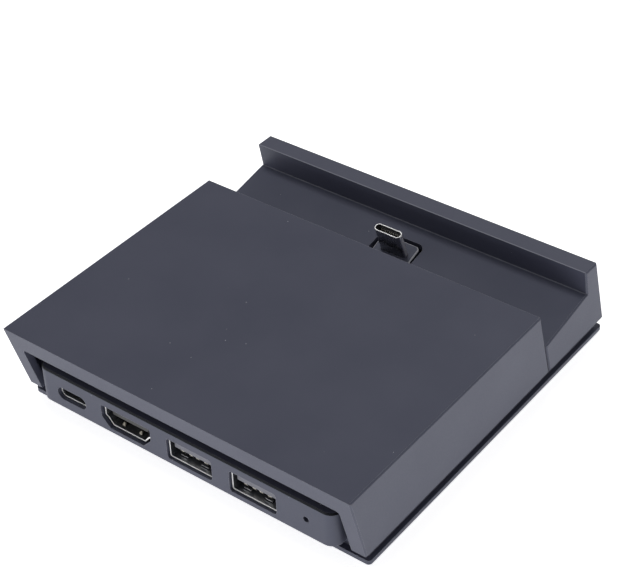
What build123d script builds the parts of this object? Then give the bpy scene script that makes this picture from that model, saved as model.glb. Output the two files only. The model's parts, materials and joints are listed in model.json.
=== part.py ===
"""Handheld console dock, each piece built in one shared frame and written to its own file.

Millimetres. X runs along the slot, -Y is the side with the sockets, +Y is the side with the lip
and +Z is up. The origin is under the middle of the dock, at the foot of its rubber feet.
"""

import os
from math import cos, radians, sin, tan

from build123d import *

os.makedirs("parts", exist_ok=True)

# Outer form
WIDTH = 104.0
DEPTH = 108.8
HEIGHT = 25.4
LEAN = 15.0  # degrees from upright, of the cover's and the cradle's end faces
CRADLE_DEPTH = 26.1  # along the top, from the seam to the back of the lip
SHELL_FOOT = 4.6  # height of the lower edges of cover and cradle
WALL = 2.0
CORNER_R = 0.6  # upper long edges of the shells
EDGE_BEVEL = 0.4  # edges of their side faces
SEAM = 0.4  # between cover and cradle

# Opening in the cover round the sockets
OPENING_INSET = 4.2  # from the cover's sides
OPENING_TOP = 19.4
OPENING_R = 1.0

# Slot for the console
SLOT_TILT = 11.0  # degrees from level, of the slot's floor
LIP_TOP = 5.3
LIP_RISE = 7.5  # along the lip's inner face
LIP_FOOT_R = 0.4

# Base tray
FOOT_PROUD = 0.8
FOOT_RECESS = 0.5
FOOT_R = 5.0
FOOT_INSET_X = 10.5  # middle of a foot from the plinth's sides
FOOT_INSET_Y = 7.5  # middle of a foot from the plinth's ends
FLANGE_T = 1.2
FLANGE_SIDE_INSET = 0.25
FLANGE_FRONT_INSET = 1.3
FLANGE_R = 1.0
TRAY_FLOOR_T = 1.6
PLINTH_INSET = 1.5
PLINTH_FRONT_INSET = 1.7
PLINTH_T = 1.6

# Screws, all alike
SCREW_R = 0.9
SCREW_L = 9.0
SCREW_HEAD_R = 1.7
SCREW_HEAD_T = 1.2
SCREW_SINK = 0.3  # head below the tray's underside
SCREW_CLEARANCE = 0.2
PILOT_FIT = 0.05  # round a screw in its post
PILOT_SPARE = 0.6
SCREW_INSET_X = 4.0  # from the dock's sides
SCREW_INSET_FRONT = 24.6  # from the cover's upper front edge
SCREW_INSET_BACK = 8.3  # from the cover's upper back edge
SCREW_INSET_LIP = 7.3  # from the back of the lip
POST_W = 4.4  # square posts that take the screws

# Port housing
HOUSING_SIDE_GAP = 0.5  # to the posts beside the housing
HOUSING_R = 3.0
HOUSING_FOOT = 5.2
HOUSING_TOP = 15.1
HOUSING_BACK_GAP = 3.0  # to the inside of the cover's back
HOUSING_WALL = 1.8
HOUSING_EDGE_BEVEL = 0.4
HOLD_RIB_X = 25.0  # ribs of the cover that hold the housing down
HOLD_RIB_T = 1.6
HOLD_RIB_BACK = 11.0  # from the housing's back
HOLD_RIB_L = 30.0
PANEL_PROUD = 2.6  # ahead of the cover's front face at the foot
PANEL_T = 1.6
NOSE_FLOOR_T = 1.2
RIBBON_GATE_W = 14.0
RIBBON_GATE_H = 5.0

# Main board and what the sockets share
BOARD_T = 1.2
BOARD_GAP = 0.5
CLAMP_W = 3.2  # square posts that clamp the board from above and below
CLAMP_INSET_X = 4.5  # from the housing's inner sides
CLAMP_INSET_FRONT = 14.7  # from the board's front edge
CLAMP_INSET_BACK = 5.2  # from the board's back edge
PORT_Z = 9.7
SOCKET_SHEET = 0.35
SOCKET_FIT = 0.05
CONTACT_T = 0.2

# Data sockets, type-A
DATA_INSET = 16.7  # second socket from the housing's side
DATA_RECESS = 0.7  # shell's front edge behind the panel's face
DATA_W = 13.2
DATA_H = 5.75
DATA_R = 0.7
DATA_DEPTH = 14.0
DATA_CUT_GAP = 0.25
DATA_CUT_R = 0.9
DATA_TONGUE_W = 11.1
DATA_TONGUE_T = 1.85
DATA_TONGUE_DROP = 0.7
DATA_BLOCK_DEPTH = 4.6
DATA_CONTACT_W = 1.0
DATA_CONTACT_X = (-3.5, -1.0, 1.0, 3.5)
TAB_X = 3.1
TAB_W = 2.1
TAB_FROM = 1.2
TAB_TO = 5.0
TAB_RISE = 0.55
TAB_T = 0.25

# Video socket
VIDEO_RECESS = 0.9
VIDEO_W = 14.8
VIDEO_H = 5.5
VIDEO_SIDE = 3.1  # upright part of its sides
VIDEO_SHOULDER_W = 0.9
VIDEO_SHOULDER_H = 0.6
VIDEO_SLANT = 1.4  # how far the sides then draw in
VIDEO_DEPTH = 11.5
VIDEO_CUT_GAP = 0.4
VIDEO_CUT_SIDE = 3.6
VIDEO_CUT_SLANT = 2.4
VIDEO_CUT_R = 0.6
VIDEO_TONGUE_W = 11.4
VIDEO_TONGUE_T = 1.2
VIDEO_TONGUE_RISE = 0.5
VIDEO_BLOCK_DEPTH = 3.4
VIDEO_CONTACT_W = 0.4
VIDEO_CONTACT_PITCH = 1.0
VIDEO_CONTACTS = 10

# Power socket, type-C
POWER_INSET = 6.6  # from the housing's side
POWER_RECESS = 1.0
POWER_W = 8.95
POWER_H = 3.2
POWER_DEPTH = 10.5
POWER_CUT_GAP = 0.25
POWER_TONGUE_W = 6.7
POWER_TONGUE_T = 0.7
POWER_BLOCK_DEPTH = 3.0
POWER_TAIL = 3.0  # insulator behind the shell, on its riser
POWER_CONTACT_W = 0.25
POWER_CONTACT_PITCH = 0.5
POWER_CONTACTS = 12

# What the three kinds of tongue share
TONGUE_BACK = 0.8  # tip behind the shell's front edge
CONTACT_BACK = 0.5  # contact tips behind the tongue's tip

# Status light
LIGHT_INSET = 8.0  # from the housing's side
LIGHT_RISE = 0.45  # above the middle of the sockets
LENS_R = 0.7
LENS_GAP = 0.1
LENS_BACK = 0.9  # tip behind the panel's face
LENS_BEND_BACK = 2.7  # from the board's front edge
LIGHT_W = 1.6
LIGHT_T = 0.8

# Board parts, each set back from the board's front edge
CHIP_T = 0.9
VIDEO_CHIP_W = 9.0
VIDEO_CHIP_BACK = 23.7
HUB_CHIP_W = 7.0
HUB_CHIP_BACK = 21.7
POWER_CHIP_W = 5.0
POWER_CHIP_BACK = 21.7
INDUCTOR_W = 7.0
INDUCTOR_T = 3.0
INDUCTOR_BACK = 35.7
CAPACITOR_L = 7.3
CAPACITOR_W = 4.3
CAPACITOR_T = 2.8
CAPACITOR_BACK = 41.7
CAPACITOR_PITCH = 7.0
CAPACITORS = 3

# Console plug, type-C, measured from the slot's floor along the plug
PLUG_LEAN = 18.3  # degrees from upright, at rest
PLUG_SETBACK = 10.1  # from the lip's foot, along the floor
PLUG_W = 8.25
PLUG_H = 2.4
PLUG_SHEET = 0.35
PLUG_RISE = 8.1
PLUG_RIM_BEVEL = 0.12
PLUG_CAVITY = 5.8
PLUG_TAIL = 0.4  # shell below the carrier
PLUG_FIT = 0.03
PLUG_CONTACT_W = 0.25
PLUG_CONTACT_PITCH = 0.6
PLUG_CONTACTS = 10
PLUG_CONTACT_L = 4.4
PLUG_CONTACT_OUT = 0.55

# Plug carrier, its pivot and its spring
CARRIER_W = 11.7
CARRIER_D = 7.3
CARRIER_R = 1.2
CARRIER_SINK = 0.2
CARRIER_EDGE_BEVEL = 0.3
CARRIER_SIDE_GAP = 0.9  # to the sides of the hole in the floor
CARRIER_END_GAP = 1.2  # to the ends of that hole, for the tilt
PIVOT_DEPTH = 5.4
CARRIER_BODY_D = 5.0
CARRIER_BODY_H = 3.8
TRUNNION_R = 1.5
TRUNNION_GAP = 0.08
SNAP_W = 2.5  # mouth through which a trunnion is pressed in
CHEEK_GAP = 0.5
CHEEK_T = 1.8
CHEEK_FRONT = 4.0
CHEEK_REAR = 3.2
CHEEK_DROP = 2.2  # below the pivot
EAR_RISE = 2.0  # above the pivot
EAR_T = 1.6
EAR_L = 5.8
STAKE_OUT = 3.0  # middle of a heat stake from the cheek
STAKE_W = 2.4
STAKE_GAP = 0.1
STAKE_SHOULDER_W = 4.0
STAKE_HEAD_W = 3.8
STAKE_HEAD_T = 0.7
TIE_T = 1.4
TIE_RISE = 0.8  # above the pivot
SPRING_T = 0.25
SPRING_H = 2.6
SPRING_GAP = 0.05
SPRING_END_GAP = 0.2
SPRING_SLOT_GAP = 0.08

# Plug board and ribbon
PLUG_BOARD_W = 10.0
PLUG_BOARD_H = 3.0
PLUG_BOARD_T = 0.8
RIBBON_W = 8.0
RIBBON_T = 0.3
RIBBON_SOCKET_W = 9.0
PLUG_RIBBON_SOCKET_H = 2.0
PLUG_RIBBON_SOCKET_T = 1.2
BOARD_RIBBON_SOCKET_L = 3.4
BOARD_RIBBON_SOCKET_T = 1.4
RIBBON_SAG = 0.5
RIBBON_REACH = 5.0
RIBBON_BEND_R = 3.0

# Places that follow from the sizes
lean_slope = tan(radians(LEAN))
tilt_cos = cos(radians(SLOT_TILT))
tilt_sin = sin(radians(SLOT_TILT))
plug_cos = cos(radians(PLUG_LEAN))
plug_sin = sin(radians(PLUG_LEAN))
corner_loss = CORNER_R * (1 / tan(radians((90 - LEAN) / 2)) - 1)
front_top = -DEPTH / 2 - corner_loss
lip_back_top = DEPTH / 2 - (HEIGHT - SHELL_FOOT) * lean_slope
cradle_front_top = lip_back_top - CRADLE_DEPTH
cover_back_top = cradle_front_top - SEAM / cos(radians(LEAN))
lip_front_top = lip_back_top - LIP_TOP
lip_foot_y = lip_front_top + LIP_RISE * tilt_sin
lip_foot_z = HEIGHT - LIP_RISE * tilt_cos
floor_slope = tan(radians(SLOT_TILT))
floor_front_y = (
    cradle_front_top + (HEIGHT - lip_foot_z + lip_foot_y * floor_slope) * lean_slope
) / (1 + floor_slope * lean_slope)
floor_front_z = lip_foot_z - (lip_foot_y - floor_front_y) * floor_slope
plug_base_y = lip_foot_y - PLUG_SETBACK * tilt_cos
plug_base_z = lip_foot_z - PLUG_SETBACK * tilt_sin
slot_floor = Plane((0, plug_base_y, plug_base_z), x_dir=(1, 0, 0), z_dir=(0, -tilt_sin, tilt_cos))
tray_floor_z = FOOT_PROUD + TRAY_FLOOR_T
screw_seat_z = FOOT_PROUD + SCREW_SINK + SCREW_HEAD_T


def leaning(top_y, z):
    """Y, at height z, of a leaning end face that meets the top at top_y."""
    return top_y + (HEIGHT - z) * lean_slope


def facing_front(x, y, z):
    """A plane that faces the socket side, with X to the right and Z up."""
    return Plane((x, y, z), x_dir=(1, 0, 0), z_dir=(0, -1, 0))


def facing_up(x, y, z):
    """A level plane."""
    return Plane((x, y, z), x_dir=(1, 0, 0), z_dir=(0, 0, 1))


def facing_right(x):
    """An upright plane across the slot, with Y and Z as its axes."""
    return Plane((x, 0, 0), x_dir=(0, 1, 0), z_dir=(1, 0, 0))


def plug_point(y, z):
    """Y and Z of a point given from the plug's place on the slot's floor, across and along the plug."""
    return plug_base_y + y * plug_cos - z * plug_sin, plug_base_z + y * plug_sin + z * plug_cos


def across_plug(x, y, z):
    """A plane square to the plug, z along it from the slot's floor."""
    place_y, place_z = plug_point(y, z)
    return Plane((x, place_y, place_z), x_dir=(1, 0, 0), z_dir=(0, -plug_sin, plug_cos))


def along_plug(x):
    """An upright plane across the slot whose axes run across and along the plug."""
    return Plane((x, plug_base_y, plug_base_z), x_dir=(0, plug_cos, plug_sin), z_dir=(1, 0, 0))


def cover_outline(foot_z):
    """Side outline of the cover, its end faces carried down to foot_z."""
    return [
        (front_top, HEIGHT),
        (cover_back_top, HEIGHT),
        (leaning(cover_back_top, foot_z), foot_z),
        (leaning(front_top, foot_z), foot_z),
    ]


def cradle_outline(foot_z):
    """Side outline of the cradle, its end faces carried down to foot_z."""
    return [
        (leaning(lip_back_top, foot_z), foot_z),
        (lip_back_top, HEIGHT),
        (lip_front_top, HEIGHT),
        (lip_foot_y, lip_foot_z),
        (floor_front_y, floor_front_z),
        (leaning(cradle_front_top, foot_z), foot_z),
    ]


def video_outline():
    """Front outline of the video socket's shell, about its middle."""
    half = VIDEO_W / 2
    top = VIDEO_H / 2
    right = [
        (half, top),
        (half, top - VIDEO_SIDE),
        (half - VIDEO_SHOULDER_W, top - VIDEO_SIDE - VIDEO_SHOULDER_H),
        (half - VIDEO_SHOULDER_W - VIDEO_SLANT, -top),
    ]
    return right + [(-x, z) for x, z in reversed(right)]


def video_cut_outline():
    """Outline of the hole in the panel for the video socket, about the socket's middle."""
    half = VIDEO_W / 2 + VIDEO_CUT_GAP
    top = VIDEO_H / 2 + VIDEO_CUT_GAP
    right = [(half, top), (half, top - VIDEO_CUT_SIDE), (half - VIDEO_CUT_SLANT, -top)]
    return right + [(-x, z) for x, z in reversed(right)]


def row(count, pitch):
    """Places of a row of contacts about its middle."""
    return [(i - (count - 1) / 2) * pitch for i in range(count)]


panel_y = leaning(front_top, SHELL_FOOT) - PANEL_PROUD
data_front = panel_y + DATA_RECESS
video_front = panel_y + VIDEO_RECESS
power_front = panel_y + POWER_RECESS
opening_w = WIDTH - 2 * OPENING_INSET
flange_front = leaning(front_top, SHELL_FOOT) + FLANGE_FRONT_INSET
plinth_front = flange_front + PLINTH_FRONT_INSET
plinth_rear = leaning(lip_back_top, SHELL_FOOT) - PLINTH_INSET
plinth_w = WIDTH - 2 * PLINTH_INSET
foot_x = plinth_w / 2 - FOOT_INSET_X
foot_y = (plinth_front + FOOT_INSET_Y, plinth_rear - FOOT_INSET_Y)
foot_places = [(s * foot_x, y) for y in foot_y for s in (-1, 1)]

screw_x = WIDTH / 2 - SCREW_INSET_X
cover_screw_y = (front_top + SCREW_INSET_FRONT, cover_back_top - SCREW_INSET_BACK)
cover_screw_places = [(s * screw_x, y) for y in cover_screw_y for s in (-1, 1)]
cradle_screw_places = [(s * screw_x, lip_back_top - SCREW_INSET_LIP) for s in (-1, 1)]
screw_places = cover_screw_places + cradle_screw_places
gate_d = 2 * (WALL + RIBBON_GATE_H)  # well through a leaning wall

housing_w = 2 * (screw_x - POST_W / 2 - HOUSING_SIDE_GAP)
housing_rear = leaning(cover_back_top, HOUSING_TOP) - WALL / cos(radians(LEAN)) - HOUSING_BACK_GAP
seat_inner_front = plinth_front + HOUSING_WALL
housing_inner_w = housing_w - 2 * HOUSING_WALL
housing_inner_rear = housing_rear - HOUSING_WALL
housing_inner_top = HOUSING_TOP - HOUSING_WALL
hold_rib_y = housing_rear - HOLD_RIB_BACK - HOLD_RIB_L / 2

board_top = PORT_Z - DATA_H / 2
board_foot = board_top - BOARD_T
board_front = seat_inner_front + BOARD_GAP
board_rear = housing_inner_rear - BOARD_GAP
clamp_x = housing_inner_w / 2 - CLAMP_INSET_X
clamp_y = (board_front + CLAMP_INSET_FRONT, board_rear - CLAMP_INSET_BACK)
clamp_places = [(s * clamp_x, y) for y in clamp_y for s in (-1, 1)]

# The four sockets stand at three even gaps
sockets_w = POWER_W + VIDEO_W + 2 * DATA_W
socket_gap = (housing_w - POWER_INSET - DATA_INSET - sockets_w) / 3
power_x = -housing_w / 2 + POWER_INSET + POWER_W / 2
video_x = power_x + POWER_W / 2 + socket_gap + VIDEO_W / 2
data_1_x = video_x + VIDEO_W / 2 + socket_gap + DATA_W / 2
data_2_x = data_1_x + DATA_W + socket_gap
light_x = housing_w / 2 - LIGHT_INSET
light_z = PORT_Z + LIGHT_RISE
lens_bend_y = board_front + LENS_BEND_BACK
video_z = board_top + VIDEO_H / 2

hole_w = CARRIER_W + 2 * CARRIER_SIDE_GAP
hole_d = CARRIER_D + 2 * CARRIER_END_GAP
ear_depth = PIVOT_DEPTH - EAR_RISE
ear_in = CARRIER_W / 2 + CHEEK_GAP + CHEEK_T
stake_x = ear_in + STAKE_OUT
carrier_foot = PIVOT_DEPTH + CARRIER_BODY_H / 2
plug_axis = Axis(across_plug(0, 0, 0).origin, across_plug(0, 0, 0).z_dir)
trunnion_end = ear_in - TRUNNION_GAP

# Outer cover
with BuildPart() as outer_cover:
    with BuildSketch(Plane.YZ) as cover_side:
        with BuildLine():
            Polyline(*cover_outline(SHELL_FOOT), close=True)
        make_face()
        fillet([v for v in cover_side.vertices() if v.Z > SHELL_FOOT + WALL], CORNER_R)
    extrude(amount=WIDTH / 2, both=True)
    chamfer(outer_cover.faces().sort_by(Axis.X)[-1].edges(), EDGE_BEVEL)
    chamfer(outer_cover.faces().sort_by(Axis.X)[0].edges(), EDGE_BEVEL)
    with BuildSketch(Plane.YZ):
        with BuildLine():
            Polyline(*cover_outline(SHELL_FOOT - 2 * WALL), close=True)
        make_face()
        offset(amount=-WALL)
    extrude(amount=WIDTH / 2 - WALL, both=True, mode=Mode.SUBTRACT)
    opening_h = OPENING_TOP - SHELL_FOOT + 2 * OPENING_R
    opening_from = front_top - WALL
    opening_to = leaning(front_top, SHELL_FOOT) + 2 * WALL
    with BuildSketch(facing_front(0, opening_from, OPENING_TOP - opening_h / 2)):
        RectangleRounded(opening_w, opening_h, OPENING_R)
    extrude(amount=opening_from - opening_to, mode=Mode.SUBTRACT)
    with BuildSketch(facing_up(0, leaning(cover_back_top, SHELL_FOOT), SHELL_FOOT - WALL)):
        Rectangle(RIBBON_GATE_W, gate_d)
    extrude(amount=WALL + RIBBON_GATE_H, mode=Mode.SUBTRACT)
    with BuildSketch(facing_up(0, 0, SHELL_FOOT)):
        with Locations(*cover_screw_places):
            Rectangle(POST_W, POST_W)
    extrude(amount=HEIGHT - WALL / 2 - SHELL_FOOT)
    with BuildSketch(facing_up(0, hold_rib_y, HOUSING_TOP)):
        with Locations((-HOLD_RIB_X, 0), (HOLD_RIB_X, 0)):
            Rectangle(HOLD_RIB_T, HOLD_RIB_L)
    extrude(amount=HEIGHT - WALL / 2 - HOUSING_TOP)
    with BuildSketch(facing_up(0, 0, SHELL_FOOT)):
        with Locations(*cover_screw_places):
            Circle(SCREW_R + PILOT_FIT)
    extrude(amount=screw_seat_z + SCREW_L + PILOT_SPARE - SHELL_FOOT, mode=Mode.SUBTRACT)
outer_cover.part.label = "outer_cover"
export_step(outer_cover.part, "parts/outer_cover.step")

# Cradle with the console's slot
with BuildPart() as cradle:
    with BuildSketch(Plane.YZ) as cradle_side:
        with BuildLine():
            Polyline(*cradle_outline(SHELL_FOOT), close=True)
        make_face()
        lip_foot = cradle_side.vertices().sort_by_distance((0, lip_foot_y, lip_foot_z))[0]
        fillet([v for v in cradle_side.vertices() if v.Z > SHELL_FOOT + WALL and v != lip_foot], CORNER_R)
        fillet(cradle_side.vertices().sort_by_distance((0, lip_foot_y, lip_foot_z))[0], LIP_FOOT_R)
    extrude(amount=WIDTH / 2, both=True)
    chamfer(cradle.faces().sort_by(Axis.X)[-1].edges(), EDGE_BEVEL)
    chamfer(cradle.faces().sort_by(Axis.X)[0].edges(), EDGE_BEVEL)
    with BuildSketch(Plane.YZ):
        with BuildLine():
            Polyline(*cradle_outline(SHELL_FOOT - 2 * WALL), close=True)
        make_face()
        offset(amount=-WALL)
    extrude(amount=WIDTH / 2 - WALL, both=True, mode=Mode.SUBTRACT)
    with BuildSketch(facing_up(0, leaning(cradle_front_top, SHELL_FOOT), SHELL_FOOT - WALL)):
        Rectangle(RIBBON_GATE_W, gate_d)
    extrude(amount=WALL + RIBBON_GATE_H, mode=Mode.SUBTRACT)
    with BuildSketch(across_plug(0, 0, -ear_depth)):
        with Locations((-stake_x, 0), (stake_x, 0)):
            Rectangle(STAKE_SHOULDER_W, STAKE_SHOULDER_W)
    extrude(amount=ear_depth - WALL / 2)
    with BuildSketch(across_plug(0, 0, -ear_depth - EAR_T)):
        with Locations((-stake_x, 0), (stake_x, 0)):
            Rectangle(STAKE_W, STAKE_W)
    extrude(amount=EAR_T)
    with BuildSketch(across_plug(0, 0, -ear_depth - EAR_T)):
        with Locations((-stake_x, 0), (stake_x, 0)):
            Rectangle(STAKE_HEAD_W, STAKE_HEAD_W)
    extrude(amount=-STAKE_HEAD_T)
    with BuildSketch(slot_floor):
        RectangleRounded(hole_w, hole_d, CARRIER_R + CARRIER_SIDE_GAP)
    extrude(amount=WALL, both=True, mode=Mode.SUBTRACT)
    with BuildSketch(facing_up(0, 0, SHELL_FOOT)):
        with Locations(*cradle_screw_places):
            Rectangle(POST_W, POST_W)
    extrude(until=Until.NEXT)
    with BuildSketch(facing_up(0, 0, SHELL_FOOT)):
        with Locations(*cradle_screw_places):
            Circle(SCREW_R + PILOT_FIT)
    extrude(amount=screw_seat_z + SCREW_L + PILOT_SPARE - SHELL_FOOT, mode=Mode.SUBTRACT)
cradle.part.label = "cradle"
export_step(cradle.part, "parts/cradle.step")

# Base tray
with BuildPart() as base_tray:
    flange_d = DEPTH / 2 - flange_front
    with BuildSketch(facing_up(0, flange_front + flange_d / 2, FOOT_PROUD)):
        RectangleRounded(WIDTH - 2 * FLANGE_SIDE_INSET, flange_d, FLANGE_R)
    extrude(amount=FLANGE_T)
    plinth_d = plinth_rear - plinth_front
    with BuildSketch(facing_up(0, plinth_front + plinth_d / 2, FOOT_PROUD)):
        Rectangle(plinth_w, plinth_d)
    extrude(amount=SHELL_FOOT - FOOT_PROUD)
    with BuildSketch(facing_up(0, plinth_front + plinth_d / 2, tray_floor_z)):
        Rectangle(plinth_w - 2 * PLINTH_T, plinth_d - 2 * PLINTH_T)
    extrude(amount=SHELL_FOOT - FOOT_PROUD, mode=Mode.SUBTRACT)
    seat_d = housing_rear - plinth_front
    with BuildSketch(facing_up(0, plinth_front + seat_d / 2, FOOT_PROUD)):
        Rectangle(housing_w, seat_d)
        Rectangle(housing_inner_w, seat_d - 2 * HOUSING_WALL, mode=Mode.SUBTRACT)
    extrude(amount=HOUSING_FOOT - FOOT_PROUD)
    with BuildSketch(facing_up(0, 0, FOOT_PROUD)):
        with Locations(*screw_places):
            Rectangle(POST_W, POST_W)
    extrude(amount=SHELL_FOOT - FOOT_PROUD)
    with BuildSketch(facing_up(0, 0, FOOT_PROUD)):
        with Locations(*clamp_places):
            Rectangle(CLAMP_W, CLAMP_W)
    extrude(amount=board_foot - FOOT_PROUD)
    with BuildSketch(facing_up(0, 0, FOOT_PROUD)):
        with Locations(*screw_places):
            Circle(SCREW_R + SCREW_CLEARANCE)
    extrude(amount=SHELL_FOOT - FOOT_PROUD, mode=Mode.SUBTRACT)
    with BuildSketch(facing_up(0, 0, FOOT_PROUD)):
        with Locations(*screw_places):
            Circle(SCREW_HEAD_R + SCREW_CLEARANCE)
    extrude(amount=screw_seat_z - FOOT_PROUD, mode=Mode.SUBTRACT)
    with BuildSketch(facing_up(0, 0, FOOT_PROUD)):
        with Locations(*foot_places):
            Circle(FOOT_R)
    extrude(amount=FOOT_RECESS, mode=Mode.SUBTRACT)
base_tray.part.label = "base_tray"
export_step(base_tray.part, "parts/base_tray.step")

# Rubber feet
with BuildPart() as rubber_feet:
    with BuildSketch(facing_up(0, 0, 0)):
        with Locations(*foot_places):
            Circle(FOOT_R)
    extrude(amount=FOOT_PROUD + FOOT_RECESS)
rubber_feet.part.label = "rubber_feet"
export_step(rubber_feet.part, "parts/rubber_feet.step")

# Screws from below, into cover and cradle
with BuildPart() as case_screws:
    with BuildSketch(facing_up(0, 0, screw_seat_z)):
        with Locations(*screw_places):
            Circle(SCREW_R)
    extrude(amount=SCREW_L)
    with BuildSketch(facing_up(0, 0, screw_seat_z)):
        with Locations(*screw_places):
            Circle(SCREW_HEAD_R)
    extrude(amount=-SCREW_HEAD_T)
case_screws.part.label = "case_screws"
export_step(case_screws.part, "parts/case_screws.step")

# Port housing
with BuildPart() as port_housing:
    housing_d = housing_rear - panel_y
    with BuildSketch(facing_up(0, panel_y + housing_d / 2, HOUSING_FOOT)):
        RectangleRounded(housing_w, housing_d, HOUSING_R)
    extrude(amount=HOUSING_TOP - HOUSING_FOOT)
    chamfer(port_housing.faces().sort_by(Axis.Z)[-1].edges(), HOUSING_EDGE_BEVEL)
    hollow_d = housing_inner_rear - seat_inner_front
    with BuildSketch(facing_up(0, seat_inner_front + hollow_d / 2, HOUSING_FOOT)):
        Rectangle(housing_inner_w, hollow_d)
    extrude(amount=housing_inner_top - HOUSING_FOOT, mode=Mode.SUBTRACT)
    nose_d = seat_inner_front - panel_y - PANEL_T
    with BuildSketch(facing_up(0, panel_y + PANEL_T + nose_d / 2, HOUSING_FOOT + NOSE_FLOOR_T)):
        Rectangle(housing_inner_w, nose_d)
    extrude(amount=housing_inner_top - HOUSING_FOOT - NOSE_FLOOR_T, mode=Mode.SUBTRACT)
    with BuildSketch(facing_up(0, 0, board_top)):
        with Locations(*clamp_places):
            Rectangle(CLAMP_W, CLAMP_W)
    extrude(amount=HOUSING_TOP - HOUSING_WALL / 2 - board_top)
    with BuildSketch(facing_front(0, panel_y, PORT_Z)):
        with Locations((data_1_x, 0), (data_2_x, 0)):
            RectangleRounded(DATA_W + 2 * DATA_CUT_GAP, DATA_H + 2 * DATA_CUT_GAP, DATA_CUT_R)
        with Locations((power_x, 0)):
            SlotOverall(POWER_W + 2 * POWER_CUT_GAP, POWER_H + 2 * POWER_CUT_GAP)
    extrude(amount=-PANEL_T, mode=Mode.SUBTRACT)
    with BuildSketch(facing_front(video_x, panel_y, video_z)) as video_cut:
        with BuildLine():
            Polyline(*video_cut_outline(), close=True)
        make_face()
        fillet(video_cut.vertices(), VIDEO_CUT_R)
    extrude(amount=-PANEL_T, mode=Mode.SUBTRACT)
    with BuildSketch(facing_front(light_x, panel_y, light_z)):
        Circle(LENS_R + LENS_GAP)
    extrude(amount=-PANEL_T, mode=Mode.SUBTRACT)
    with BuildSketch(facing_up(0, housing_rear, HOUSING_FOOT)):
        Rectangle(RIBBON_GATE_W, 2 * HOUSING_WALL)
    extrude(amount=RIBBON_GATE_H, mode=Mode.SUBTRACT)
port_housing.part.label = "port_housing"
export_step(port_housing.part, "parts/port_housing.step")

# Main board
with BuildPart() as main_board:
    board_d = board_rear - board_front
    with BuildSketch(facing_up(0, board_front + board_d / 2, board_foot)):
        Rectangle(housing_inner_w - 2 * BOARD_GAP, board_d)
    extrude(amount=BOARD_T)
main_board.part.label = "main_board"
export_step(main_board.part, "parts/main_board.step")

# Data sockets
data_inner_w = DATA_W - 2 * SOCKET_SHEET
data_inner_h = DATA_H - 2 * SOCKET_SHEET
data_block_w = data_inner_w - 2 * SOCKET_FIT
data_block_h = data_inner_h - 2 * SOCKET_FIT
data_floor = PORT_Z - data_inner_h / 2
data_tongue_foot = PORT_Z + data_inner_h / 2 - DATA_TONGUE_DROP - DATA_TONGUE_T
data_block_front = data_front + DATA_DEPTH - DATA_BLOCK_DEPTH
for number, x in enumerate((data_1_x, data_2_x), 1):
    with BuildPart() as data_shell:
        with BuildSketch(facing_front(x, data_front, PORT_Z)):
            RectangleRounded(DATA_W, DATA_H, DATA_R)
            RectangleRounded(data_inner_w, data_inner_h, DATA_R - SOCKET_SHEET, mode=Mode.SUBTRACT)
        extrude(amount=-DATA_DEPTH)
        for tab_x in (x - TAB_X, x + TAB_X):
            with BuildSketch(facing_right(tab_x - TAB_W / 2)):
                with BuildLine():
                    Polyline(
                        (data_front + TAB_TO, data_floor - SOCKET_SHEET / 2),
                        (data_front + TAB_FROM, data_floor + TAB_RISE - TAB_T),
                        (data_front + TAB_FROM, data_floor + TAB_RISE),
                        (data_front + TAB_TO, data_floor + TAB_T),
                        close=True,
                    )
                make_face()
            extrude(amount=TAB_W)
    data_shell.part.label = f"data_socket_{number}_shell"
    export_step(data_shell.part, f"parts/data_socket_{number}_shell.step")

    with BuildPart() as data_insulator:
        with BuildSketch(facing_front(x, data_block_front, PORT_Z)):
            RectangleRounded(data_block_w, data_block_h, DATA_R - SOCKET_SHEET)
        extrude(amount=-DATA_BLOCK_DEPTH)
        with BuildSketch(facing_front(x, data_block_front, data_tongue_foot + DATA_TONGUE_T / 2)):
            Rectangle(DATA_TONGUE_W, DATA_TONGUE_T)
        extrude(amount=data_block_front - data_front - TONGUE_BACK)
    data_insulator.part.label = f"data_socket_{number}_insulator"
    export_step(data_insulator.part, f"parts/data_socket_{number}_insulator.step")

    with BuildPart() as data_contacts:
        with BuildSketch(facing_front(x, data_block_front, data_tongue_foot - CONTACT_T / 2)):
            with Locations(*[(place, 0) for place in DATA_CONTACT_X]):
                Rectangle(DATA_CONTACT_W, CONTACT_T)
        extrude(amount=data_block_front - data_front - TONGUE_BACK - CONTACT_BACK)
    data_contacts.part.label = f"data_socket_{number}_contacts"
    export_step(data_contacts.part, f"parts/data_socket_{number}_contacts.step")

# Video socket
video_block_front = video_front + VIDEO_DEPTH - VIDEO_BLOCK_DEPTH
with BuildPart() as video_socket_shell:
    with BuildSketch(facing_front(video_x, video_front, video_z)):
        with BuildLine():
            Polyline(*video_outline(), close=True)
        make_face()
    extrude(amount=-VIDEO_DEPTH)
    with BuildSketch(facing_front(video_x, video_front, video_z)):
        with BuildLine():
            Polyline(*video_outline(), close=True)
        make_face()
        offset(amount=-SOCKET_SHEET, kind=Kind.INTERSECTION)
    extrude(amount=-VIDEO_DEPTH, mode=Mode.SUBTRACT)
video_socket_shell.part.label = "video_socket_shell"
export_step(video_socket_shell.part, "parts/video_socket_shell.step")

with BuildPart() as video_socket_insulator:
    with BuildSketch(facing_front(video_x, video_block_front, video_z)):
        with BuildLine():
            Polyline(*video_outline(), close=True)
        make_face()
        offset(amount=-SOCKET_SHEET - SOCKET_FIT, kind=Kind.INTERSECTION)
    extrude(amount=-VIDEO_BLOCK_DEPTH)
    with BuildSketch(facing_front(video_x, video_block_front, video_z + VIDEO_TONGUE_RISE)):
        Rectangle(VIDEO_TONGUE_W, VIDEO_TONGUE_T)
    extrude(amount=video_block_front - video_front - TONGUE_BACK)
video_socket_insulator.part.label = "video_socket_insulator"
export_step(video_socket_insulator.part, "parts/video_socket_insulator.step")

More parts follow.
